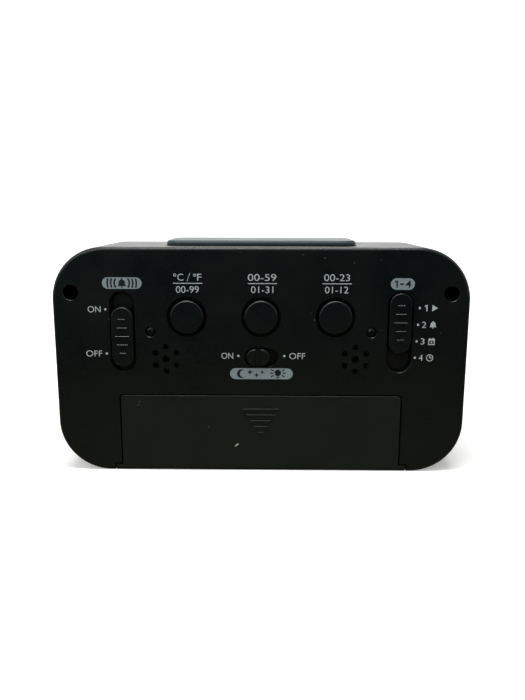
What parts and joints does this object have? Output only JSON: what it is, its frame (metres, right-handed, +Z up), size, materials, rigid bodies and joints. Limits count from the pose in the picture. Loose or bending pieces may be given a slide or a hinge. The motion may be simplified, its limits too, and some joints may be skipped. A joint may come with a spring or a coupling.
{
  "type": "digital alarm clock",
  "caption": "Battery alarm clock with a liquid-crystal display in front, a snooze bar on top, and keys, slide switches and a sliding battery door behind.",
  "frame": {"origin": "on the base, midway between the sides and midway through the case's depth", "axes": "+Z up, the display looks along -Y, the controls and battery door are on the +Y side, X runs along the case"},
  "size_m": [0.15, 0.0474, 0.0853],
  "materials": {
    "case_black": "black ABS, satin moulded finish",
    "cover_black": "black ABS, fine satin finish",
    "door_black": "black ABS, fine satin finish",
    "key_black": "black ABS, satin finish",
    "slider_black": "black ABS, satin finish",
    "snooze_grey": "slate grey ABS, satin finish",
    "lens_clear": "clear acrylic with a black printed border",
    "tape_black": "adhesive tape",
    "foam_black": "soft foam",
    "lcd_glass": "liquid-crystal cell with polarisers",
    "sheet_white": "white film",
    "guide_clear": "clear acrylic",
    "holder_white": "white ABS",
    "strip_rubber": "silicone with carbon layers",
    "led_white": "lamp body",
    "board_green": "glass-epoxy board with green solder mask",
    "resin_black": "epoxy drop",
    "crystal_steel": "tinned can",
    "capacitor_sleeve": "shrunk sleeve",
    "screw_steel": "zinc-plated steel",
    "switch_plastic": "moulded switch body",
    "plunger_plastic": "moulded plunger",
    "wiper_brass": "phosphor bronze",
    "buzzer_black": "moulded buzzer case",
    "sensor_bead": "epoxy-coated bead on tinned legs",
    "ribbon_grey": "PVC ribbon",
    "wire_red": "PVC insulation",
    "wire_black": "PVC insulation",
    "contact_nickel": "nickel-plated spring steel",
    "spring_steel": "spring steel",
    "cell_jacket": "printed film on a steel can"
  },
  "bodies": {
    "case": {"front_housing": "case_black", "rear_cover": "cover_black", "display_lens": "lens_clear", "lens_tape": "tape_black", "lcd_gasket": "foam_black", "buzzer_gasket": "foam_black", "lcd_panel": "lcd_glass", "diffuser_sheet": "sheet_white", "reflector_sheet": "sheet_white", "light_guide": "guide_clear", "lcd_holder": "holder_white", "switch_carrier": "holder_white", "lower_contact_strip": "strip_rubber", "upper_contact_strip": "strip_rubber", "backlight_led_left": "led_white", "backlight_led_right": "led_white", "main_board": "board_green", "switch_board": "board_green", "snooze_board": "board_green", "controller_chip": "resin_black", "timing_crystal": "crystal_steel", "board_capacitor": "capacitor_sleeve", "case_screws": "screw_steel", "switch_screws": "screw_steel", "display_screws": "screw_steel", "snooze_board_screws": "screw_steel", "unit_switch": "switch_plastic", "minute_switch": "switch_plastic", "hour_switch": "switch_plastic", "buzzer": "buzzer_black", "temperature_sensor": "sensor_bead", "ribbon_cable": "ribbon_grey", "battery_lead_red": "wire_red", "battery_lead_black": "wire_black", "snooze_leads": "wire_black", "negative_contact": "contact_nickel", "positive_contact": "contact_nickel", "bridge_contact": "contact_nickel", "snooze_spring_left": "spring_steel", "snooze_spring_right": "spring_steel", "battery_cell_1": "cell_jacket", "battery_cell_2": "cell_jacket", "battery_cell_3": "cell_jacket", "battery_cell_4": "cell_jacket"},
    "snooze": {"snooze_bar": "snooze_grey", "snooze_contact": "wiper_brass"},
    "unit_button": {"unit_key": "key_black", "unit_plunger": "plunger_plastic"},
    "minute_button": {"minute_key": "key_black", "minute_plunger": "plunger_plastic"},
    "hour_button": {"hour_key": "key_black", "hour_plunger": "plunger_plastic"},
    "alarm_switch": {"alarm_slider": "slider_black", "alarm_wiper": "wiper_brass"},
    "set_switch": {"set_slider": "slider_black", "set_wiper": "wiper_brass"},
    "night_light_switch": {"night_light_slider": "slider_black", "night_light_wiper": "wiper_brass"},
    "door": {"battery_door": "door_black"}
  },
  "joints": [
    {"name": "snooze_press", "type": "slide", "parent": "case", "child": "snooze", "axis": [0, 0, -1], "range_m": [0, 0.0015], "stiffness_N_per_m": 1200, "springref_m": -0.0005, "deforming": ["snooze_spring_left", "snooze_spring_right"]},
    {"name": "unit_press", "type": "slide", "parent": "case", "child": "unit_button", "axis": [0, -1, 0], "range_m": [0, 0.0005], "stiffness_N_per_m": 3000},
    {"name": "minute_press", "type": "slide", "parent": "case", "child": "minute_button", "axis": [0, -1, 0], "range_m": [0, 0.0005], "stiffness_N_per_m": 3000},
    {"name": "hour_press", "type": "slide", "parent": "case", "child": "hour_button", "axis": [0, -1, 0], "range_m": [0, 0.0005], "stiffness_N_per_m": 3000},
    {"name": "alarm_slide", "type": "slide", "parent": "case", "child": "alarm_switch", "axis": [0, 0, 1], "range_m": [0, 0.0035]},
    {"name": "set_slide", "type": "slide", "parent": "case", "child": "set_switch", "axis": [0, 0, -1], "range_m": [0, 0.0069]},
    {"name": "night_light_slide", "type": "slide", "parent": "case", "child": "night_light_switch", "axis": [-1, 0, 0], "range_m": [0, 0.0024]},
    {"name": "door_slide", "type": "slide", "parent": "case", "child": "door", "axis": [0, 0, -1], "range_m": [0, 0.031]}
  ]
}
